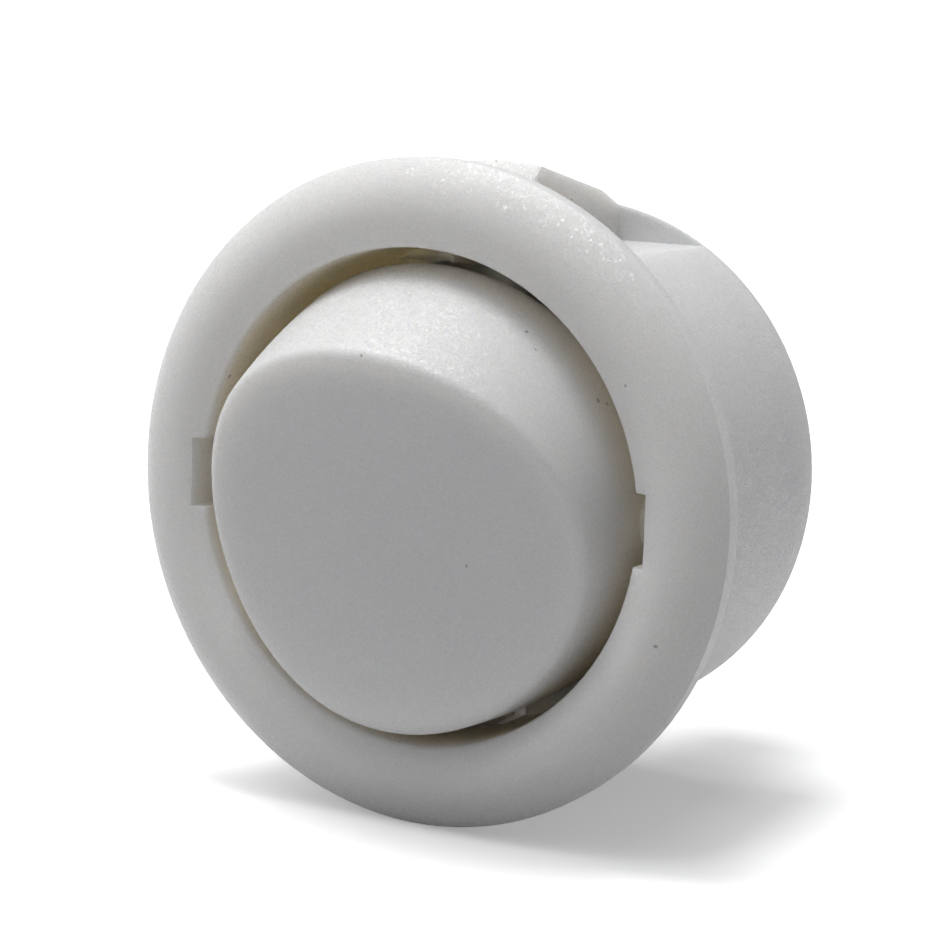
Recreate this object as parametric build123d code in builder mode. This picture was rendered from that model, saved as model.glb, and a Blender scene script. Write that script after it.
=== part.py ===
from build123d import *
from math import cos, radians, sin, sqrt, tan
import os

# Round built-in rocker switch, double pole, for a round panel cut-out.
# Units are millimetres. X runs along the rocker's pivot, +Y goes back through the panel and
# +Z is up. The origin is the centre of the flange's seating face, so the front has negative Y.

# Flange
flange_r = 13.5
flange_edge = 0.8
flange_back_round = 0.1
flange_height = 2.0
crest_r = 11.25
outer_band_bulge = 0.32
rim_drop = 0.3
inner_band_bulge = 0.06
rim_round = 0.25

# Barrel behind the panel
barrel_r = 11.45
barrel_depth = 12.6
opening_r = 10.0
collar_depth = 4.3
collar_step = 0.04
rear_chamfer = 0.1

# Flats above and below, between the collar and the rear rim
flat_height = 9.75
flat_start = 5.3
flat_wall = 0.8
flat_shoulder_y = 4.4
rim_thickness = 0.3

# Snap wings, one above and one below
wing_width = 3.8
wing_slot = 0.5
wing_peak_y = 5.0
wing_peak_r = 13.25
wing_front_angle = 42.0
wing_knee_y = 10.6
wing_knee_r = 12.1
wing_root_y = 10.8
wing_sink = 0.3

# Rocker
pivot_y = 1.5
tilt = 12.8
skirt_r = 9.7
skirt_drop = 2.6
crown_r = 7.5
crown_height = 8.0
side_bulge = 0.38
side_wall = 1.2
face_height = 4.7
face_hollow_r = 17.2
face_wall = 1.2
face_edge_round = 0.45
skirt_half_length = 6.2
skirt_end_drop = 0.3
trunnion_r = 1.3
trunnion_clearance = 0.06
trunnion_reach = 0.85
trunnion_end_gap = 0.08
trunnion_chamfer = 0.2
lead_in_width = 2.9
lead_in_depth = 0.45
web_thickness = 0.9
web_drop = 0.5

# Spring plungers in the rocker, one for each pole
pole_x = 4.4
plunger_r = 1.2
plunger_clearance = 0.08
plunger_body = 4.9
stem_wall = 0.8
stem_drop = 2.6
bore_roof = 1.5
spring_wire = 0.24
spring_turns = 5.0
wire_flats = 6
spring_clearance = 0.1
spring_peg_r = 0.6
spring_peg_length = 1.6
spring_seat_gap = 0.02

# See-saw contact levers
lever_tilt = 11.0
lever_width = 3.0
lever_thickness = 0.45
lever_half_length = 5.0
lever_arm_front = 1.3
tip_gap = 0.05
saddle_y = 7.4
saddle_gap = 0.05

# Silver contacts
contact_offset = 4.4
contact_r = 1.0
contact_height = 0.6
contact_dome = 0.3
contact_gap = 0.05
shank_r = 0.5
shank_clearance = 0.02
rivet_head_r = 0.75
rivet_head_height = 0.2
fixed_contact_z = 4.55
fixed_contact_r = 1.1
fixed_contact_height = 0.45
fixed_contact_chamfer = 0.12

# Terminals
tab_width = 4.8
tab_thickness = 0.8
tab_reach = 6.4
tab_lead = 0.9
tab_hole_r = 0.7
tab_hole_from_end = 3.2
shoulder_width = 5.2
load_tab_z = 5.35
load_head_z = 3.35
load_bend_r = 0.7
ear_rise = 1.15
ear_gap = 0.12

# Rear base
base_recess = 0.6
base_clearance = 0.05
base_seat_step = 0.35
bead_rise = 0.2
bead_y = 10.6
bead_width = 0.8
slot_clearance = 0.04
barrier_thickness = 1.0
barrier_rise = 2.9
barrier_half_length = 7.6
stop_width = 2.4
stop_thickness = 1.6
stop_gap = 0.06
rear_rib_height = 0.4

# Angles and directions at rest, with the rocker's lower end pressed in
swing = radians(tilt)
lever_swing = radians(lever_tilt)
rocker_up = (0, -sin(swing), cos(swing))
rocker_out = (0, -cos(swing), -sin(swing))
lever_up = (0, sin(lever_swing), cos(lever_swing))
lever_out = (0, -cos(lever_swing), sin(lever_swing))

# The plunger's rounded tip rolls in the lever's trough. The tip's centre follows an arc in
# the lever's own frame, and the trough is that arc made larger by the tip and a small gap.
plunger_reach = saddle_y - pivot_y - lever_thickness - tip_gap
tip_centre_reach = plunger_reach - plunger_r
tip_middle_height = saddle_y - pivot_y - tip_centre_reach
tip_end_out = saddle_y - pivot_y - tip_centre_reach * cos(swing)
tip_end_up = tip_centre_reach * sin(swing)
tip_end_height = tip_end_out * cos(lever_swing) + tip_end_up * sin(lever_swing)
tip_end_offset = tip_end_up * cos(lever_swing) - tip_end_out * sin(lever_swing)
tip_rise = tip_end_height - tip_middle_height
tip_path_r = (tip_end_offset ** 2 + tip_rise ** 2) / (2 * tip_rise)
trough_centre = tip_middle_height + tip_path_r
trough_r = tip_path_r + plunger_r + tip_gap
arm_back = lever_arm_front - lever_thickness

# The closed contact's place gives the load terminal's, and that gives the base's
dome_ball_r = (contact_r ** 2 + contact_dome ** 2) / (2 * contact_dome)
dome_centre = arm_back - contact_height + dome_ball_r
touch_y = (saddle_y - dome_centre * cos(lever_swing)
           + contact_offset * sin(lever_swing) + dome_ball_r)
load_head_y = touch_y + contact_gap + fixed_contact_height
base_front_y = load_head_y + tab_thickness
base_rear_y = barrel_depth - base_recess
tab_end_y = barrel_depth + tab_reach

flat_end = barrel_depth - rim_thickness
inner_flat = flat_height - flat_wall
rear_r = barrel_r - collar_step
seat_r = opening_r + base_seat_step
base_r = seat_r - base_clearance
socket_r = trunnion_r + trunnion_clearance
trunnion_x = opening_r + trunnion_reach
stem_bore_r = plunger_r + plunger_clearance
stem_r = stem_bore_r + stem_wall
stem_roof = face_height - bore_roof
plunger_top = plunger_body - plunger_reach
wing_front_y = wing_peak_y - (wing_peak_r - barrel_r) / tan(radians(wing_front_angle))
poles = {"left": -pole_x, "right": pole_x}


def rocker_plane(x=0.0, out=0.0):
    """Plane square to the rocker's outward axis, at a height along that axis."""
    centre = (x, pivot_y + rocker_out[1] * out, rocker_out[2] * out)
    return Plane(origin=centre, x_dir=(1, 0, 0), z_dir=rocker_out)


def rocker_side(x=0.0):
    """Plane across the pivot, with x up the rocker's face and y out of it."""
    return Plane(origin=(x, pivot_y, 0), x_dir=rocker_up, z_dir=(1, 0, 0))


def lever_side(x):
    """Plane across the saddle, with x up the lever and y to its front."""
    return Plane(origin=(x, saddle_y, 0), x_dir=lever_up, z_dir=(1, 0, 0))


def lever_plane(x, along, out):
    """Plane on the lever that faces its front, at a place along and out from the saddle."""
    centre = (x, saddle_y + lever_up[1] * along + lever_out[1] * out,
              lever_up[2] * along + lever_out[2] * out)
    return Plane(origin=centre, x_dir=(1, 0, 0), z_dir=lever_out)


def front_plane(y, x=0.0, z=0.0):
    """Plane at depth y that faces the front."""
    return Plane(origin=(x, y, z), x_dir=(1, 0, 0), z_dir=(0, -1, 0))


def save(part, name):
    """Label a finished piece and write it as its own STEP file."""
    part.label = name
    export_step(part, f"parts/{name}.step")


def make_housing():
    """Flange, barrel and snap wings, moulded as one piece."""
    rim_y = rim_drop - flange_height
    edge = flange_back_round
    groove = bead_outline(seat_r, seat_r + bead_rise)
    with BuildPart() as housing:
        with BuildSketch(Plane.XY):
            with BuildLine():
                Polyline((opening_r, rim_y + rim_round), (opening_r, base_front_y),
                         (seat_r, base_front_y), (seat_r, barrel_depth),
                         (rear_r - rear_chamfer, barrel_depth),
                         (rear_r, barrel_depth - rear_chamfer),
                         (rear_r, collar_depth + collar_step),
                         (barrel_r, collar_depth), (barrel_r, 0), (flange_r - edge, 0))
                CenterArc((flange_r - edge, -edge), edge, 90, -90)
                Line((flange_r, -edge), (flange_r, -flange_edge))
                SagittaArc((flange_r, -flange_edge), (crest_r, -flange_height),
                           outer_band_bulge)
                SagittaArc((crest_r, -flange_height), (opening_r + rim_round, rim_y),
                           inner_band_bulge)
                CenterArc((opening_r + rim_round, rim_y + rim_round), rim_round, 270, -90)
            make_face()
        revolve(axis=Axis.Y)
        with BuildSketch(Plane.XY):
            add(groove)
        revolve(axis=Axis.Y, mode=Mode.SUBTRACT)
        with BuildSketch(front_plane(barrel_depth)):
            Circle((seat_r + bead_rise + rear_r) / 2)
            Rectangle(2 * barrel_r, 2 * inner_flat, mode=Mode.SUBTRACT)
        extrude(amount=barrel_depth - flat_shoulder_y)
        with BuildSketch(front_plane(flat_end)):
            Circle(flange_r)
            Rectangle(2 * flange_r, 2 * flat_height, mode=Mode.SUBTRACT)
        extrude(amount=flat_end - flat_start, mode=Mode.SUBTRACT)
        add(make_wings())
        with BuildSketch(Plane.XY):
            with Locations((0, (wing_front_y - wing_slot + wing_root_y) / 2)):
                Rectangle(wing_width + 2 * wing_slot, wing_root_y - wing_front_y + wing_slot)
            with Locations((0, (wing_front_y + wing_root_y) / 2)):
                Rectangle(wing_width, wing_root_y - wing_front_y, mode=Mode.SUBTRACT)
        extrude(amount=flange_r, both=True, mode=Mode.SUBTRACT)
        with BuildSketch(Plane.YZ):
            with Locations((pivot_y, 0)):
                Circle(socket_r)
        extrude(amount=trunnion_x + trunnion_end_gap, both=True, mode=Mode.SUBTRACT)
        with BuildSketch(Plane.YZ):
            with Locations(((pivot_y - flange_height) / 2, 0)):
                Rectangle(pivot_y + flange_height, lead_in_width)
        extrude(amount=opening_r + lead_in_depth, both=True, mode=Mode.SUBTRACT)
    return housing.part


def make_wings():
    """The two snap wings, which stand on the flats and round off with the barrel."""
    with BuildPart(mode=Mode.PRIVATE) as wings:
        with BuildSketch(Plane.XY):
            with BuildLine():
                Polyline((flat_height - wing_sink, flat_end),
                         (flat_height - wing_sink, flat_start),
                         (barrel_r - wing_sink, flat_start),
                         (barrel_r - wing_sink, wing_front_y), (barrel_r, wing_front_y),
                         (wing_peak_r, wing_peak_y), (wing_knee_r, wing_knee_y),
                         (rear_r, flat_end), close=True)
            make_face()
        revolve(axis=Axis.Y)
        with BuildSketch(front_plane(barrel_depth)):
            Rectangle(wing_width, 2 * flange_r)
        extrude(amount=barrel_depth, mode=Mode.INTERSECT)
    return wings.part


def bead_outline(inner, outer):
    """Section of the snap bead that holds the rear base, a low trapezium."""
    half = bead_width / 2
    with BuildSketch(Plane.XY) as outline:
        with BuildLine():
            Polyline((inner - base_seat_step, bead_y - half), (inner, bead_y - half),
                     (outer, bead_y - half / 2), (outer, bead_y + half / 2),
                     (inner, bead_y + half), (inner - base_seat_step, bead_y + half),
                     close=True)
        make_face()
    return outline.sketch


def button_outline(inset):
    """Half section of the button, with its side drawn in by a wall's thickness."""
    with BuildSketch(Plane.XY) as outline:
        with BuildLine():
            Polyline((skirt_r - inset, -skirt_drop), (0, -skirt_drop), (0, crown_height),
                     (crown_r - inset, crown_height))
            SagittaArc((skirt_r - inset, -skirt_drop), (crown_r - inset, crown_height),
                       -side_bulge)
        make_face()
    return outline.sketch


def make_rocker():
    """Domed button with a hollowed face, side trunnions and two plunger stems."""
    outer = button_outline(0)
    inner = button_outline(side_wall)
    with BuildPart(mode=Mode.PRIVATE) as cavity:
        with BuildSketch(rocker_side()):
            add(inner)
        revolve(axis=Axis((0, pivot_y, 0), rocker_out))
        with BuildSketch(rocker_side()):
            with Locations((0, face_height + face_hollow_r)):
                Circle(face_hollow_r + face_wall)
        extrude(amount=skirt_r, both=True, mode=Mode.SUBTRACT)
    with BuildPart() as rocker:
        with BuildSketch(rocker_side()):
            add(outer)
        revolve(axis=Axis((0, pivot_y, 0), rocker_out))
        with BuildSketch(rocker_side()):
            with Locations((0, face_height + face_hollow_r)):
                Circle(face_hollow_r)
        extrude(amount=skirt_r, both=True, mode=Mode.SUBTRACT)
        face_edges = rocker.edges().filter_by(
            lambda edge: edge.geom_type not in (GeomType.CIRCLE, GeomType.LINE))
        fillet(face_edges, face_edge_round)
        with BuildSketch(rocker_side()):
            for end in (-1, 1):
                with Locations((end * (skirt_r + skirt_half_length) / 2,
                                -(skirt_drop + skirt_end_drop) / 2)):
                    Rectangle(skirt_r - skirt_half_length, skirt_drop - skirt_end_drop)
        extrude(amount=skirt_r, both=True, mode=Mode.SUBTRACT)
        add(cavity.part, mode=Mode.SUBTRACT)
        for x in poles.values():
            with BuildSketch(rocker_plane(x, -stem_drop)):
                Circle(stem_r)
            extrude(amount=stem_drop + face_height - face_wall / 2)
        with BuildSketch(rocker_side()):
            height = face_height - face_wall / 2 + web_drop
            with Locations((0, height / 2 - web_drop)):
                Rectangle(web_thickness, height)
        extrude(amount=pole_x, both=True)
        for x in poles.values():
            with BuildSketch(rocker_plane(x, -stem_drop)):
                Circle(stem_bore_r)
            extrude(amount=stem_drop + stem_roof, mode=Mode.SUBTRACT)
        for side in (-1, 1):
            start = Plane(origin=(side * (skirt_r - side_wall), pivot_y, 0),
                          x_dir=(0, 1, 0), z_dir=(side, 0, 0))
            with BuildSketch(start):
                Circle(trunnion_r)
            extrude(amount=trunnion_x - skirt_r + side_wall)
        ends = rocker.faces().filter_by(Plane.YZ).sort_by(Axis.X)
        chamfer(ends[0].edges() + ends[-1].edges(), trunnion_chamfer)
    return rocker.part


def make_plunger(x):
    """Plunger with a ball tip, a sliding body and a peg that centres its spring."""
    with BuildPart() as plunger:
        with BuildSketch(rocker_side(x)):
            with BuildLine():
                Line((0, -plunger_reach), (0, plunger_top + spring_peg_length))
                Polyline((0, plunger_top + spring_peg_length),
                         (spring_peg_r, plunger_top + spring_peg_length),
                         (spring_peg_r, plunger_top), (plunger_r, plunger_top),
                         (plunger_r, -tip_centre_reach))
                CenterArc((0, -tip_centre_reach), plunger_r, 0, -90)
            make_face()
        revolve(axis=Axis((x, pivot_y, 0), rocker_out))
    return plunger.part


def make_spring(x):
    """Compression spring between the plunger's shoulder and the roof of its bore.

    Its round wire is drawn with flats, which keeps the mesh of the coils small.
    """
    coil_r = stem_bore_r - spring_clearance - spring_wire / 2
    low = plunger_top + spring_seat_gap + spring_wire / 2
    height = stem_roof - spring_seat_gap - spring_wire / 2 - low
    base = rocker_plane(x, low)
    with BuildPart() as spring:
        with BuildLine():
            path = Helix(pitch=height / spring_turns, height=height, radius=coil_r,
                         center=base.origin, direction=base.z_dir)
        with BuildSketch(Plane(origin=path @ 0, z_dir=path % 0)):
            RegularPolygon(spring_wire / 2, wire_flats)
        sweep(path=path, is_frenet=True)
    return spring.part


def make_lever(x):
    """Bent strip that rocks on its saddle, with a trough for the plunger's tip."""
    with BuildPart() as lever:
        with BuildSketch(lever_side(x)):
            with Locations((0, arm_back + lever_thickness / 2)):
                Rectangle(2 * lever_half_length, lever_thickness)
            with Locations((0, trough_centre)):
                Circle(trough_r + lever_thickness)
                Circle(trough_r, mode=Mode.SUBTRACT)
            with Locations((0, lever_arm_front)):
                Rectangle(2 * lever_half_length, 2 * trough_centre,
                          align=(Align.CENTER, Align.MIN), mode=Mode.SUBTRACT)
        extrude(amount=lever_width / 2, both=True)
        with BuildSketch(lever_plane(x, contact_offset, arm_back)):
            Circle(shank_r + shank_clearance)
        extrude(amount=lever_thickness, mode=Mode.SUBTRACT)
        tips = lever.edges().filter_by(
            lambda edge: abs(edge.length - lever_thickness) < shank_clearance / 2)
        fillet(tips, lever_thickness)
    return lever.part


def make_lever_contact(x):
    """Domed silver rivet at the lever's working end."""
    front = lever_arm_front + shank_clearance
    back = arm_back - shank_clearance
    plane = Plane(origin=lever_plane(x, contact_offset, 0).origin,
                  x_dir=lever_up, z_dir=(1, 0, 0))
    with BuildPart() as contact:
        with BuildSketch(plane):
            with BuildLine():
                Polyline((0, arm_back - contact_height), (0, front + rivet_head_height),
                         (rivet_head_r, front + rivet_head_height), (rivet_head_r, front),
                         (shank_r, front), (shank_r, back), (contact_r, back),
                         (contact_r, arm_back - contact_height + contact_dome))
                ThreePointArc((contact_r, arm_back - contact_height + contact_dome),
                              dome_point(), (0, arm_back - contact_height))
            make_face()
        revolve(axis=Axis(plane.origin, lever_out))
    return contact.part


def dome_point():
    """A point halfway round the contact's dome, on its ball."""
    half = contact_r / 2
    return (half, dome_centre - sqrt(dome_ball_r ** 2 - half ** 2))


def make_fixed_contact(x):
    """Flat silver rivet on the load terminal's head."""
    with BuildPart() as contact:
        with BuildSketch(front_plane(load_head_y - shank_clearance, x, fixed_contact_z)):
            Circle(fixed_contact_r)
        extrude(amount=fixed_contact_height - shank_clearance)
        chamfer(contact.faces().sort_by(Axis.Y)[0].edges(), fixed_contact_chamfer)
        with BuildSketch(front_plane(base_front_y, x, fixed_contact_z)):
            Circle(shank_r)
        extrude(amount=tab_thickness + shank_clearance)
    return contact.part


def tab_outline(x, front_y):
    """Flat outline of one push-on tab, from its front to its chamfered end."""
    half = tab_width / 2
    lead_x = half - tab_lead / 2
    with BuildSketch(Plane.XY) as outline:
        with BuildLine():
            Polyline((x - half, front_y), (x + half, front_y),
                     (x + half, tab_end_y - tab_lead), (x + lead_x, tab_end_y),
                     (x - lead_x, tab_end_y), (x - half, tab_end_y - tab_lead),
                     close=True)
        make_face()
        with Locations((x, tab_end_y - tab_hole_from_end)):
            Circle(tab_hole_r, mode=Mode.SUBTRACT)
    return outline.sketch


def make_common_terminal(x):
    """Flat stamping with a tab behind and a notched saddle for the lever in front."""
    ear_y = saddle_y - ear_rise
    edge_y = saddle_y + saddle_gap
    notch_half = lever_width / 2 + ear_gap
    tab = tab_outline(x, edge_y)
    with BuildPart() as terminal:
        with BuildSketch(Plane.XY):
            add(tab)
            with Locations((x, (ear_y + base_front_y) / 2)):
                Rectangle(shoulder_width, base_front_y - ear_y)
            with Locations((x, (ear_y + edge_y) / 2)):
                Rectangle(2 * notch_half, edge_y - ear_y, mode=Mode.SUBTRACT)
        extrude(amount=tab_thickness / 2, both=True)
        saddle = terminal.edges().filter_by(
            lambda edge: abs(edge.center().Y - edge_y) < saddle_gap / 2
            and abs(edge.length - 2 * notch_half) < saddle_gap / 2)
        fillet(saddle, tab_thickness / 2 - saddle_gap)
    return terminal.part


def make_load_terminal(x):
    """Tab that bends over in front of the base to carry the fixed contact."""
    outer_z = load_tab_z + tab_thickness / 2
    inner_z = load_tab_z - tab_thickness / 2
    tab = tab_outline(x, load_head_y)
    with BuildPart() as terminal:
        with BuildSketch(Plane.XY.offset(inner_z)):
            add(tab)
        extrude(amount=tab_thickness)
        with BuildSketch(front_plane(base_front_y, x, (load_head_z + outer_z) / 2)):
            Rectangle(tab_width, outer_z - load_head_z)
        extrude(amount=tab_thickness)
        bend = terminal.edges().filter_by(Axis.X).filter_by(
            lambda edge: abs(edge.center().Y - load_head_y) < slot_clearance
            and abs(edge.center().Z - outer_z) < slot_clearance)
        fillet(bend, load_bend_r)
        with BuildSketch(front_plane(base_front_y, x, fixed_contact_z)):
            Circle(shank_r + shank_clearance)
        extrude(amount=tab_thickness, mode=Mode.SUBTRACT)
    return terminal.part


def make_rear_base():
    """Insulating plug that closes the barrel and holds the four terminals."""
    stop_y = (saddle_y - arm_back * cos(lever_swing)
              + lever_half_length * sin(lever_swing) + stop_gap)
    stop_z = -lever_half_length * cos(lever_swing) + stop_thickness / 2
    bead = bead_outline(base_r, base_r + bead_rise)
    with BuildPart() as base:
        with BuildSketch(front_plane(base_rear_y)):
            Circle(base_r)
        extrude(amount=base_rear_y - base_front_y)
        with BuildSketch(Plane.XY):
            add(bead)
        revolve(axis=Axis.Y)
        with BuildSketch(front_plane(base_rear_y)):
            Rectangle(2 * barrel_r, 2 * (inner_flat - base_clearance))
        extrude(amount=base_rear_y - base_front_y, mode=Mode.INTERSECT)
        with BuildSketch(front_plane(base_front_y)):
            Rectangle(barrier_thickness, 2 * barrier_half_length)
        extrude(amount=barrier_rise)
        with BuildSketch(front_plane(base_rear_y + rear_rib_height)):
            Rectangle(barrier_thickness, 2 * barrier_half_length)
        extrude(amount=rear_rib_height)
        for x in poles.values():
            with BuildSketch(front_plane(base_front_y)):
                with Locations((x, stop_z)):
                    Rectangle(stop_width, stop_thickness)
            extrude(amount=base_front_y - stop_y)
            with BuildSketch(front_plane(base_rear_y)):
                with Locations((x, 0), (x, load_tab_z)):
                    Rectangle(tab_width + 2 * slot_clearance,
                              tab_thickness + 2 * slot_clearance)
            extrude(amount=base_rear_y - base_front_y, mode=Mode.SUBTRACT)
    return base.part


os.makedirs("parts", exist_ok=True)
save(make_housing(), "housing")
save(make_rocker(), "rocker")
save(make_rear_base(), "rear_base")
for side, x in poles.items():
    save(make_plunger(x), f"plunger_{side}")
    save(make_spring(x), f"plunger_spring_{side}")
    save(make_lever(x), f"contact_lever_{side}")
    save(make_lever_contact(x), f"lever_contact_{side}")
    save(make_fixed_contact(x), f"fixed_contact_{side}")
    save(make_common_terminal(x), f"common_terminal_{side}")
    save(make_load_terminal(x), f"load_terminal_{side}")
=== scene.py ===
from math import cos, radians, sin

import bpy
from mathutils import Matrix, Vector


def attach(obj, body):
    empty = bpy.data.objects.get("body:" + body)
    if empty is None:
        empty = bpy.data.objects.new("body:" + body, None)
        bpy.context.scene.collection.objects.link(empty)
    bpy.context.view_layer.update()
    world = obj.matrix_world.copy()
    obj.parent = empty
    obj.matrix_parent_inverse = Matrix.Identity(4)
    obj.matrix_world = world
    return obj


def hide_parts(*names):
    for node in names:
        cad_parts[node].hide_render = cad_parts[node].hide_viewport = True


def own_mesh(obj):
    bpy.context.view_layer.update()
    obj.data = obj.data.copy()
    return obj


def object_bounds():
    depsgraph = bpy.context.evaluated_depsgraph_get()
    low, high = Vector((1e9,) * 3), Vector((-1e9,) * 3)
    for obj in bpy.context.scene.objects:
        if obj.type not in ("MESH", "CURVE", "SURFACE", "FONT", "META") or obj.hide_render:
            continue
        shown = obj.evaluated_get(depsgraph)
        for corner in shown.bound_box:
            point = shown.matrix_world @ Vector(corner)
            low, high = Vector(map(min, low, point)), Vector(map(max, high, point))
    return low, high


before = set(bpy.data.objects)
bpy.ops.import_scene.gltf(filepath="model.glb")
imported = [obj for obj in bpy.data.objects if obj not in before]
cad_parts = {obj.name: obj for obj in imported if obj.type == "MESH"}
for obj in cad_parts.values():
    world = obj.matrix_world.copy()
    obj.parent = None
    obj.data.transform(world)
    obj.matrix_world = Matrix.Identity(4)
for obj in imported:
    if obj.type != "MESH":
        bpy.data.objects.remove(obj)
cad_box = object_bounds()

# Lengths are in metres, and MM turns the object's own millimetres into them.
# +Y goes back through the panel and +Z is up. An azimuth of 0 is straight in front of the
# flange, and a positive one is to its right.
MM = 0.001

# The photograph's view, and its small roll
VIEW_AZIMUTH = 29.26
VIEW_ELEVATION = 9.72
VIEW_ROLL = 1.90
VIEW_DISTANCE = 100.6 * MM
VIEW_AIM = Vector((1.52, 1.01, 0.81)) * MM
SENSOR_WIDTH = 36.0
FOCAL_LENGTH = 94.6
NEAR_CLIP = 10 * MM

# Colours of the mouldings, and the slow change of shade over each
SWITCH_WHITE = (0.82, 0.815, 0.805)
BASE_WHITE = (0.83, 0.82, 0.78)
PLUNGER_IVORY = (0.80, 0.77, 0.68)
BLACK = (0.0, 0.0, 0.0)
PATCH_SIZE = 4 * MM
PATCH_BAND = (0.35, 0.65)
PATCH_SHADE = 0.985

# Spark-eroded skin: a fine grain on a coarse one, with painted shade darkening its hollows.
# Noise mostly lies within its band, and a grain of 1 is the full skin.
NOISE_BAND = (0.3, 0.7)
GRAIN_SIZE = 0.09 * MM
GRAIN_HEIGHT = 0.028 * MM
COARSE_GRAIN_SIZE = 0.35 * MM
COARSE_GRAIN_HEIGHT = 0.010 * MM
GRAIN_SHADE = 0.10
BASE_GRAIN = 0.8
PLUNGER_GRAIN = 0.2

# Gloss: each finish's least and most roughness, and a bright skin of tiny tilted facets
MATT = (0.36, 0.52)
SATIN = (0.30, 0.40)
DULL = (0.45, 0.60)
PLASTIC_IOR = 1.5
PLASTIC_GLOSS = 0.25
BRIGHT_SKIN = 0.45
SKIN_ROUGHNESS = 0.27
FACET_SIZE = 0.10 * MM
FACET_TILT = 0.60

# How light spreads inside the plastic, which lets the thin walls glow
BLEED_WEIGHT = 0.9
BLEED_DEPTH = 2.2 * MM
BLEED_COLOUR = (1.0, 0.94, 0.82)

# Warm painted shade inside the opening and low on the button's skirt, and specks of dust: a
# place in millimetres and a radius
PAINTED_RECESS_SHADE = (0.93, 0.86, 0.74)
SPECK_BROWN = (0.24, 0.22, 0.20)
OPENING_RADIUS = (10.6 * MM, 10.2 * MM)
OPENING_DEPTH = (-1.7 * MM, -0.9 * MM)
OPENING_FLOOR = (10.0 * MM, 7.0 * MM)
SKIRT_DEPTH = (-1.5 * MM, 0.3 * MM)
SPECK_RAGGEDNESS = 0.08 * MM
SPECK_REACH = (0.35, 1.35)
SPECK_FADE = (1.6, 0.6, 0.0, 0.75)
BUTTON_SPECKS = (
    ((3.44, -2.90, -1.99), 0.07), ((5.06, -1.70, 7.16), 0.07), ((5.65, -2.02, 6.54), 0.06),
    ((7.78, -0.75, 4.66), 0.08), ((7.98, -0.37, 4.52), 0.06), ((0.65, -6.48, 6.27), 0.06))
HOUSING_SPECKS = (
    ((11.18, -1.90, -4.26), 0.07), ((-0.21, 4.99, 13.23), 0.07), ((1.90, 7.75, 11.66), 0.06),
    ((9.48, -1.97, 5.52), 0.05), ((-9.14, -1.05, 4.04), 0.10))

# Plunger springs: distances run out of the button from its pivot, along its tilted axis
POLE_PLACES = {"left": -4.4 * MM, "right": 4.4 * MM}
PIVOT_Y = 1.5 * MM
BUTTON_TILT = 12.8
BUTTON_OUT = Vector((0.0, -cos(radians(BUTTON_TILT)), -sin(radians(BUTTON_TILT))))
SPRING_SEAT = -0.5 * MM
SPRING_ROOF = 3.2 * MM
SPRING_WIRE = 0.24 * MM
SPRING_CLEARANCE = 0.1 * MM
SPRING_BORE_RADIUS = 1.28 * MM
SPRING_GAP = 0.02 * MM
SPRING_TURNS = 6.0
STEPS_PER_TURN = 28
WIRE_SIDES = 10

# Metals, with fine rolling lines that change their shade and roughness
TINNED = (0.56, 0.555, 0.54)
COPPER = (0.80, 0.47, 0.30)
SILVER = (0.82, 0.81, 0.78)
SPRING_STEEL = (0.55, 0.56, 0.58)
TINNED_ROUGHNESS = 0.36
COPPER_ROUGHNESS = 0.28
SILVER_ROUGHNESS = 0.30
WIRE_ROUGHNESS = 0.25
ROLLING_LINE = 0.05 * MM
SILVER_LINE = 0.2 * MM
LINE_HEIGHT = 0.004 * MM
LINE_SHADE = 0.88
SMOOTHER = 0.08
ROUGHER = 0.10
EVEN = (1.0, 1.0, 1.0)
LINES_ALONG_Y = (1.0, 0.06, 1.0)
LINES_ALONG_Z = (1.0, 1.0, 0.06)

# Shading of the carried-over meshes
SMOOTH_ANGLE = 28.0
WELD_DISTANCE = 0.001 * MM

# Studio
FLOOR_GAP = 0.05 * MM
FLOOR_SIZE = 6.0
FLOOR_PALE = (0.43, 0.43, 0.44)
FLOOR_SEEN = (1.0, 1.0, 1.0)
FLOOR_LIFT = 0.30
FLOOR_ROUGHNESS = 0.9
WORLD_COLOUR = (0.95, 0.97, 1.0, 1.0)
WORLD_STRENGTH = 0.14
PLAIN_WHITE = (1.0, 1.0, 1.0, 1.0)

# Each lamp's name, azimuth, elevation and spread in degrees, and strength
LAMPS = (
    ("overhead softbox", -60, 78, 50, 1.52),
    ("overhead lamp", -60, 81, 15, 1.12),
    ("front left window", -42, 36, 38, 0.42))


def new_material(name, **constants):
    """Node material with a shader joined to its output, and constants on the shader."""
    material = bpy.data.materials.new(name)
    material.use_nodes = True
    tree = material.node_tree
    tree.nodes.clear()
    shader = tree.nodes.new("ShaderNodeBsdfPrincipled")
    output = tree.nodes.new("ShaderNodeOutputMaterial")
    tree.links.new(shader.outputs["BSDF"], output.inputs["Surface"])
    for socket, value in constants.items():
        shader.inputs[socket.replace("_", " ")].default_value = value
    return material, tree, shader


def object_point(tree):
    """The point on the piece, in its own coordinates."""
    return tree.nodes.new("ShaderNodeTexCoord").outputs["Object"]


def join(tree, value, socket):
    """Set a socket to a plain value, or link another node's output to it."""
    if isinstance(value, bpy.types.NodeSocket):
        tree.links.new(value, socket)
    else:
        socket.default_value = value


def arithmetic(tree, kind, operation, first, second):
    """Node for one step of arithmetic on plain values or on other nodes' outputs."""
    node = tree.nodes.new(kind)
    node.operation = operation
    join(tree, first, node.inputs[0])
    join(tree, second, node.inputs[1])
    return node


def number_math(tree, operation, first, second):
    """One step of arithmetic on numbers."""
    return arithmetic(tree, "ShaderNodeMath", operation, first, second).outputs[0]


def vector_math(tree, operation, first, second, output="Vector"):
    """One step of arithmetic on vectors."""
    return arithmetic(tree, "ShaderNodeVectorMath", operation, first, second).outputs[output]


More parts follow.
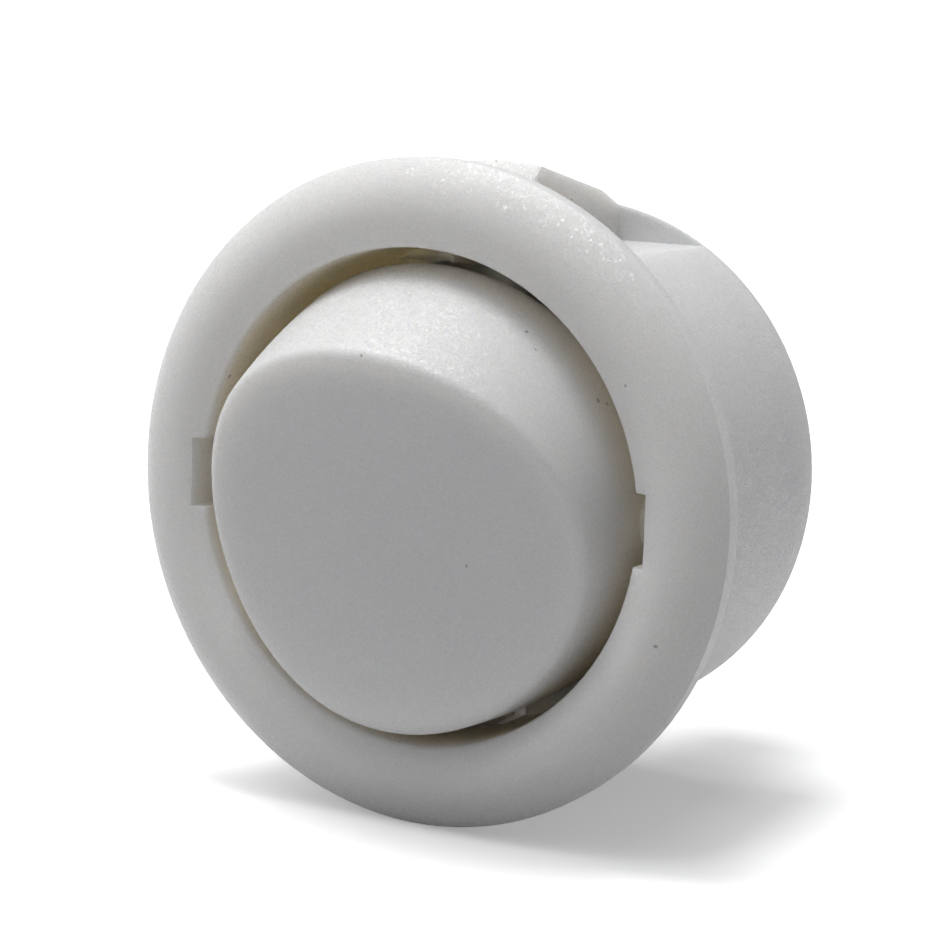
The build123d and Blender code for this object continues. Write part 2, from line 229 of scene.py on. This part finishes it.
def noise(tree, point, size, detail=3.0, roughness=0.5):
    """Noise whose lumps are about the given size across."""
    node = tree.nodes.new("ShaderNodeTexNoise")
    node.inputs["Scale"].default_value = 1.0 / size
    node.inputs["Detail"].default_value = detail
    node.inputs["Roughness"].default_value = roughness
    tree.links.new(point, node.inputs["Vector"])
    return node.outputs["Fac"]


def glitter(tree, point, size, tilt):
    """Normal of tiny flat facets, each tilted its own way."""
    cells = tree.nodes.new("ShaderNodeTexVoronoi")
    cells.inputs["Scale"].default_value = 1.0 / size
    tree.links.new(point, cells.inputs["Vector"])
    normal = tree.nodes.new("ShaderNodeNewGeometry").outputs["Normal"]
    lean = vector_math(tree, "SUBTRACT", cells.outputs["Color"], (0.5, 0.5, 0.5))
    lean = vector_math(tree, "MULTIPLY", lean, (tilt, tilt, tilt))
    facet = vector_math(tree, "ADD", normal, lean)
    return vector_math(tree, "NORMALIZE", facet, (0.0, 0.0, 0.0))


def remap(tree, value, low, high, to_low=0.0, to_high=1.0):
    """Stretch a value from one range to another and clamp it there."""
    node = tree.nodes.new("ShaderNodeMapRange")
    for name, number in (("From Min", low), ("From Max", high),
                         ("To Min", to_low), ("To Max", to_high)):
        node.inputs[name].default_value = number
    tree.links.new(value, node.inputs["Value"])
    return node.outputs["Result"]


def blend_colour(tree, factor, first, second):
    """Mix two colours, each a triple or another node's output."""
    node = tree.nodes.new("ShaderNodeMix")
    node.data_type = "RGBA"
    tree.links.new(factor, node.inputs["Factor"])
    for name, colour in (("A", first), ("B", second)):
        entry = [s for s in node.inputs if s.name == name and s.type == "RGBA"][0]
        join(tree, (*colour, 1.0) if isinstance(colour, tuple) else colour, entry)
    return [s for s in node.outputs if s.type == "RGBA"][0]


def bump(tree, height, distance, normal=None):
    """Bump of a height field, in metres, on top of another normal if one is given."""
    node = tree.nodes.new("ShaderNodeBump")
    node.inputs["Distance"].default_value = distance
    tree.links.new(height, node.inputs["Height"])
    if normal is not None:
        tree.links.new(normal, node.inputs["Normal"])
    return node.outputs["Normal"]


def split_point(tree, point):
    """The point's three coordinates, by their letters."""
    split = tree.nodes.new("ShaderNodeSeparateXYZ")
    tree.links.new(point, split.inputs[0])
    return split.outputs


def opening_painted_shade_mask(tree, point):
    """Where warm painted shade goes: 1 on the walls inside the housing's opening, 0 outside
    it.
    """
    place = split_point(tree, point)
    across = number_math(tree, "MULTIPLY", place["X"], place["X"])
    upright = number_math(tree, "MULTIPLY", place["Z"], place["Z"])
    radius = number_math(tree, "POWER", number_math(tree, "ADD", across, upright), 0.5)
    depth = number_math(tree, "MULTIPLY", remap(tree, place["Y"], *OPENING_DEPTH),
                        remap(tree, place["Y"], *OPENING_FLOOR))
    return number_math(tree, "MULTIPLY", remap(tree, radius, *OPENING_RADIUS), depth)


def skirt_painted_shade_mask(tree, point):
    """Where warm painted shade goes: 1 low on the button's skirt, where it turns inside the
    opening.
    """
    return remap(tree, split_point(tree, point)["Y"], *SKIRT_DEPTH)


def speck_mask(tree, point, specks):
    """1 on small ragged specks at the given places, in millimetres."""
    ragged = noise(tree, point, SPECK_RAGGEDNESS, detail=1.0)
    edge = remap(tree, ragged, *NOISE_BAND, *SPECK_REACH)
    mask = 0.0
    for place, radius in specks:
        gap = vector_math(tree, "DISTANCE", point, Vector(place) * MM, output="Value")
        reach = number_math(tree, "MULTIPLY", edge, radius * MM)
        inside = remap(tree, number_math(tree, "DIVIDE", gap, reach), *SPECK_FADE)
        mask = number_math(tree, "MAXIMUM", mask, inside)
    return mask


def moulded_plastic(name, colour, surface, grain=1.0, painted_shade_mask=None, specks=()):
    """Thermoplastic with the pitted skin that a spark-eroded mould leaves."""
    material, tree, shader = new_material(
        name, IOR=PLASTIC_IOR, Specular_IOR_Level=PLASTIC_GLOSS,
        Subsurface_Weight=BLEED_WEIGHT, Subsurface_Radius=BLEED_COLOUR,
        Subsurface_Scale=BLEED_DEPTH, Coat_Weight=BRIGHT_SKIN * grain,
        Coat_Roughness=SKIN_ROUGHNESS)
    point = object_point(tree)
    patches = remap(tree, noise(tree, point, PATCH_SIZE, detail=2.0), *PATCH_BAND)
    tone = blend_colour(tree, patches, tuple(c * PATCH_SHADE for c in colour), colour)
    # Painted shade: warmer and darker inside the opening and on the skirt, where the gap's
    # shade and warm bounce light fall.
    if painted_shade_mask:
        tone = blend_colour(tree, painted_shade_mask(tree, point), tone, PAINTED_RECESS_SHADE)
    if specks:
        tone = blend_colour(tree, speck_mask(tree, point, specks), tone, SPECK_BROWN)
    fine = noise(tree, point, GRAIN_SIZE, detail=2.0, roughness=0.6)
    # Painted shade: the colour darkens in the grain's hollows, where the bump's low points
    # are.
    painted_hollow_shade = remap(tree, fine, *NOISE_BAND, grain * GRAIN_SHADE, 0.0)
    tone_with_painted_shade = blend_colour(tree, painted_hollow_shade, tone, BLACK)
    tree.links.new(tone_with_painted_shade, shader.inputs["Base Color"])
    coarse = noise(tree, point, COARSE_GRAIN_SIZE, detail=1.0)
    tree.links.new(remap(tree, fine, *NOISE_BAND, *surface), shader.inputs["Roughness"])
    soft = bump(tree, coarse, grain * COARSE_GRAIN_HEIGHT)
    tree.links.new(bump(tree, fine, grain * GRAIN_HEIGHT, soft), shader.inputs["Normal"])
    tree.links.new(glitter(tree, point, FACET_SIZE, grain * FACET_TILT),
                   shader.inputs["Coat Normal"])
    return material


def strip_metal(name, colour, roughness, line=ROLLING_LINE, stretch=EVEN):
    """Metal with fine rolling lines, drawn out along one axis."""
    material, tree, shader = new_material(name, Metallic=1.0)
    mapping = tree.nodes.new("ShaderNodeMapping")
    mapping.inputs["Scale"].default_value = stretch
    tree.links.new(object_point(tree), mapping.inputs["Vector"])
    lines = noise(tree, mapping.outputs["Vector"], line, detail=4.0)
    tone = blend_colour(tree, lines, tuple(c * LINE_SHADE for c in colour), colour)
    tree.links.new(tone, shader.inputs["Base Color"])
    tree.links.new(remap(tree, lines, *NOISE_BAND, roughness - SMOOTHER, roughness + ROUGHER),
                   shader.inputs["Roughness"])
    tree.links.new(bump(tree, lines, LINE_HEIGHT), shader.inputs["Normal"])
    return material


def smoothing_tree():
    """Geometry nodes: merge loose corners, then smooth every edge below an angle."""
    tree = bpy.data.node_groups.new("weld and smooth", "GeometryNodeTree")
    tree.interface.new_socket("Geometry", in_out="INPUT", socket_type="NodeSocketGeometry")
    tree.interface.new_socket("Geometry", in_out="OUTPUT", socket_type="NodeSocketGeometry")
    nodes, links = tree.nodes, tree.links
    start = nodes.new("NodeGroupInput")
    end = nodes.new("NodeGroupOutput")
    merge = nodes.new("GeometryNodeMergeByDistance")
    merge.inputs["Distance"].default_value = WELD_DISTANCE
    faces = nodes.new("GeometryNodeSetShadeSmooth")
    edges = nodes.new("GeometryNodeSetShadeSmooth")
    edges.domain = "EDGE"
    angle = nodes.new("GeometryNodeInputMeshEdgeAngle")
    below = nodes.new("FunctionNodeCompare")
    below.data_type = "FLOAT"
    below.operation = "LESS_THAN"
    below.inputs["B"].default_value = radians(SMOOTH_ANGLE)
    links.new(start.outputs["Geometry"], merge.inputs["Geometry"])
    links.new(merge.outputs["Geometry"], faces.inputs["Geometry"])
    links.new(faces.outputs["Geometry"], edges.inputs["Geometry"])
    links.new(angle.outputs["Unsigned Angle"], below.inputs["A"])
    links.new(below.outputs["Result"], edges.inputs["Shade Smooth"])
    links.new(edges.outputs["Geometry"], end.inputs["Geometry"])
    return tree


def named_inputs(tree, modifier, **values):
    """Set a modifier's inputs by the names that its tree gives them."""
    for item in tree.interface.items_tree:
        if item.in_out == "INPUT" and item.name.replace(" ", "_") in values:
            modifier[item.identifier] = values[item.name.replace(" ", "_")]


def spring_tree(material):
    """Geometry nodes: a wire coiled upwards, with closed turns at both ends."""
    tree = bpy.data.node_groups.new("compression spring", "GeometryNodeTree")
    sockets = tree.interface
    sockets.new_socket("Geometry", in_out="INPUT", socket_type="NodeSocketGeometry")
    for name in ("coil radius", "wire radius", "height", "turns"):
        sockets.new_socket(name, in_out="INPUT", socket_type="NodeSocketFloat")
    sockets.new_socket("Geometry", in_out="OUTPUT", socket_type="NodeSocketGeometry")
    nodes, links = tree.nodes, tree.links
    sizes = nodes.new("NodeGroupInput").outputs
    end = nodes.new("NodeGroupOutput")
    coil = nodes.new("GeometryNodeCurveSpiral")
    coil.inputs["Resolution"].default_value = STEPS_PER_TURN
    links.new(sizes["turns"], coil.inputs["Rotations"])
    links.new(sizes["coil radius"], coil.inputs["Start Radius"])
    links.new(sizes["coil radius"], coil.inputs["End Radius"])
    links.new(sizes["height"], coil.inputs["Height"])
    along = nodes.new("ShaderNodeMapRange")
    along.interpolation_type = "SMOOTHSTEP"
    links.new(nodes.new("GeometryNodeSplineParameter").outputs["Factor"],
              along.inputs["Value"])
    links.new(sizes["height"], along.inputs["To Max"])
    split = nodes.new("ShaderNodeSeparateXYZ")
    links.new(nodes.new("GeometryNodeInputPosition").outputs[0], split.inputs[0])
    place = nodes.new("ShaderNodeCombineXYZ")
    links.new(split.outputs["X"], place.inputs["X"])
    links.new(split.outputs["Y"], place.inputs["Y"])
    links.new(along.outputs["Result"], place.inputs["Z"])
    closed = nodes.new("GeometryNodeSetPosition")
    links.new(coil.outputs["Curve"], closed.inputs["Geometry"])
    links.new(place.outputs[0], closed.inputs["Position"])
    section = nodes.new("GeometryNodeCurvePrimitiveCircle")
    section.inputs["Resolution"].default_value = WIRE_SIDES
    links.new(sizes["wire radius"], section.inputs["Radius"])
    wire = nodes.new("GeometryNodeCurveToMesh")
    wire.inputs["Fill Caps"].default_value = True
    links.new(closed.outputs["Geometry"], wire.inputs["Curve"])
    links.new(section.outputs["Curve"], wire.inputs["Profile Curve"])
    smooth = nodes.new("GeometryNodeSetShadeSmooth")
    links.new(wire.outputs["Mesh"], smooth.inputs["Geometry"])
    real = nodes.new("GeometryNodeRealizeInstances")
    links.new(smooth.outputs["Geometry"], real.inputs["Geometry"])
    finish = nodes.new("GeometryNodeSetMaterial")
    finish.inputs["Material"].default_value = material
    links.new(real.outputs["Geometry"], finish.inputs["Geometry"])
    links.new(finish.outputs["Geometry"], end.inputs["Geometry"])
    return tree


def make_plunger_spring(side, tree):
    """Round-wire spring between the plunger's shoulder and the roof of its bore."""
    name = f"plunger_spring_coils_{side}"
    piece = bpy.data.objects.new(name, bpy.data.meshes.new(name))
    bpy.context.scene.collection.objects.link(piece)
    modifier = piece.modifiers.new("coils", "NODES")
    modifier.node_group = tree
    low = SPRING_SEAT + SPRING_GAP + SPRING_WIRE / 2
    height = SPRING_ROOF - SPRING_GAP - SPRING_WIRE / 2 - low
    named_inputs(tree, modifier, height=height, turns=SPRING_TURNS,
                 wire_radius=SPRING_WIRE / 2,
                 coil_radius=SPRING_BORE_RADIUS - SPRING_CLEARANCE - SPRING_WIRE / 2)
    evaluated = piece.evaluated_get(bpy.context.evaluated_depsgraph_get())
    mesh = bpy.data.meshes.new_from_object(evaluated)
    piece.modifiers.clear()
    pivot = Vector((POLE_PLACES[side], PIVOT_Y, 0.0))
    turn = BUTTON_OUT.to_track_quat("Z", "X").to_matrix().to_4x4()
    mesh.transform(Matrix.Translation(pivot + BUTTON_OUT * low) @ turn)
    piece.data = mesh
    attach(piece, "rocker")
    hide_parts(f"plunger_spring_{side}")
    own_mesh(piece)


def dress(node_name, material, smoothing):
    """Give a CAD node its finish and smooth shading."""
    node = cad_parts[node_name]
    node.data.materials.clear()
    node.data.materials.append(material)
    node.modifiers.new("smooth shading", "NODES").node_group = smoothing


def seen_rays(tree):
    """1 for what the camera sees straight or by gloss or through glass, else 0."""
    rays = tree.nodes.new("ShaderNodeLightPath").outputs
    seen = number_math(tree, "MAXIMUM", rays["Is Camera Ray"], rays["Is Glossy Ray"])
    return number_math(tree, "MAXIMUM", seen, rays["Is Transmission Ray"])


def make_floor():
    """Pale floor just under the flange, white where it is seen outside the shadow."""
    material, tree, shader = new_material(
        "pale floor", Roughness=FLOOR_ROUGHNESS, Specular_IOR_Level=0.0,
        Emission_Color=PLAIN_WHITE)
    seen = seen_rays(tree)
    tree.links.new(blend_colour(tree, seen, FLOOR_PALE, FLOOR_SEEN),
                   shader.inputs["Base Color"])
    tree.links.new(number_math(tree, "MULTIPLY", seen, FLOOR_LIFT),
                   shader.inputs["Emission Strength"])
    bpy.ops.mesh.primitive_plane_add(size=FLOOR_SIZE,
                                     location=(0, 0, cad_box[0].z - FLOOR_GAP))
    floor = bpy.context.object
    floor.name = "floor"
    floor.data.materials.append(material)


def make_world():
    """World that is white where it is seen, and faint cool light to everything else."""
    world = bpy.data.worlds.new("studio")
    bpy.context.scene.world = world
    world.use_nodes = True
    tree = world.node_tree
    tree.nodes.clear()
    light = tree.nodes.new("ShaderNodeBackground")
    light.inputs["Color"].default_value = WORLD_COLOUR
    light.inputs["Strength"].default_value = WORLD_STRENGTH
    plain = tree.nodes.new("ShaderNodeBackground")
    plain.inputs["Color"].default_value = PLAIN_WHITE
    mix = tree.nodes.new("ShaderNodeMixShader")
    output = tree.nodes.new("ShaderNodeOutputWorld")
    tree.links.new(seen_rays(tree), mix.inputs["Fac"])
    tree.links.new(light.outputs[0], mix.inputs[1])
    tree.links.new(plain.outputs[0], mix.inputs[2])
    tree.links.new(mix.outputs[0], output.inputs["Surface"])


def direction(azimuth, elevation):
    """Unit vector from the object towards a compass angle and a height, in degrees."""
    a, e = radians(azimuth), radians(elevation)
    return Vector((sin(a) * cos(e), -cos(a) * cos(e), sin(e)))


def soft_light(name, azimuth, elevation, spread, strength):
    """Wide soft light from far off, as even on the floor as on the object."""
    data = bpy.data.lights.new(name, "SUN")
    data.angle = radians(spread)
    data.energy = strength
    lamp = bpy.data.objects.new(name, data)
    towards = direction(azimuth, elevation)
    lamp.rotation_euler = (-towards).to_track_quat("-Z", "Y").to_euler()
    bpy.context.scene.collection.objects.link(lamp)


def make_camera():
    """Camera on the photograph's line of sight, with its small roll."""
    data = bpy.data.cameras.new("photo view")
    data.sensor_width = SENSOR_WIDTH
    data.lens = FOCAL_LENGTH
    data.clip_start = NEAR_CLIP
    camera = bpy.data.objects.new("photo view", data)
    back = direction(VIEW_AZIMUTH, VIEW_ELEVATION)
    camera.location = VIEW_AIM + back * VIEW_DISTANCE
    turn = (-back).to_track_quat("-Z", "Y").to_matrix().to_4x4()
    roll = Matrix.Rotation(radians(VIEW_ROLL), 4, "Z")
    camera.rotation_euler = (turn @ roll).to_euler()
    bpy.context.scene.collection.objects.link(camera)
    bpy.context.scene.camera = camera


wire = strip_metal("spring wire", SPRING_STEEL, WIRE_ROUGHNESS)
silver = strip_metal("contact silver", SILVER, SILVER_ROUGHNESS, line=SILVER_LINE)
tinned = strip_metal("tinned brass", TINNED, TINNED_ROUGHNESS, stretch=LINES_ALONG_Y)
finishes = {
    "housing": moulded_plastic("housing moulding", SWITCH_WHITE, MATT,
                               painted_shade_mask=opening_painted_shade_mask, specks=HOUSING_SPECKS),
    "rocker": moulded_plastic("button moulding", SWITCH_WHITE, MATT,
                              painted_shade_mask=skirt_painted_shade_mask, specks=BUTTON_SPECKS),
    "rear_base": moulded_plastic("base moulding", BASE_WHITE, DULL, BASE_GRAIN)}
pole_finishes = {
    "plunger": moulded_plastic("plunger moulding", PLUNGER_IVORY, SATIN, PLUNGER_GRAIN),
    "plunger_spring": wire,
    "contact_lever": strip_metal("copper strip", COPPER, COPPER_ROUGHNESS,
                                 stretch=LINES_ALONG_Z),
    "lever_contact": silver,
    "fixed_contact": silver,
    "common_terminal": tinned,
    "load_terminal": tinned}
for side in POLE_PLACES:
    for piece, finish in pole_finishes.items():
        finishes[f"{piece}_{side}"] = finish

weld_and_smooth = smoothing_tree()
for node_name, finish in finishes.items():
    dress(node_name, finish, weld_and_smooth)
spring_coils = spring_tree(wire)
for side in POLE_PLACES:
    make_plunger_spring(side, spring_coils)

make_floor()
make_world()
make_camera()
for lamp in LAMPS:
    soft_light(*lamp)

bpy.context.scene.view_settings.view_transform = "Standard"
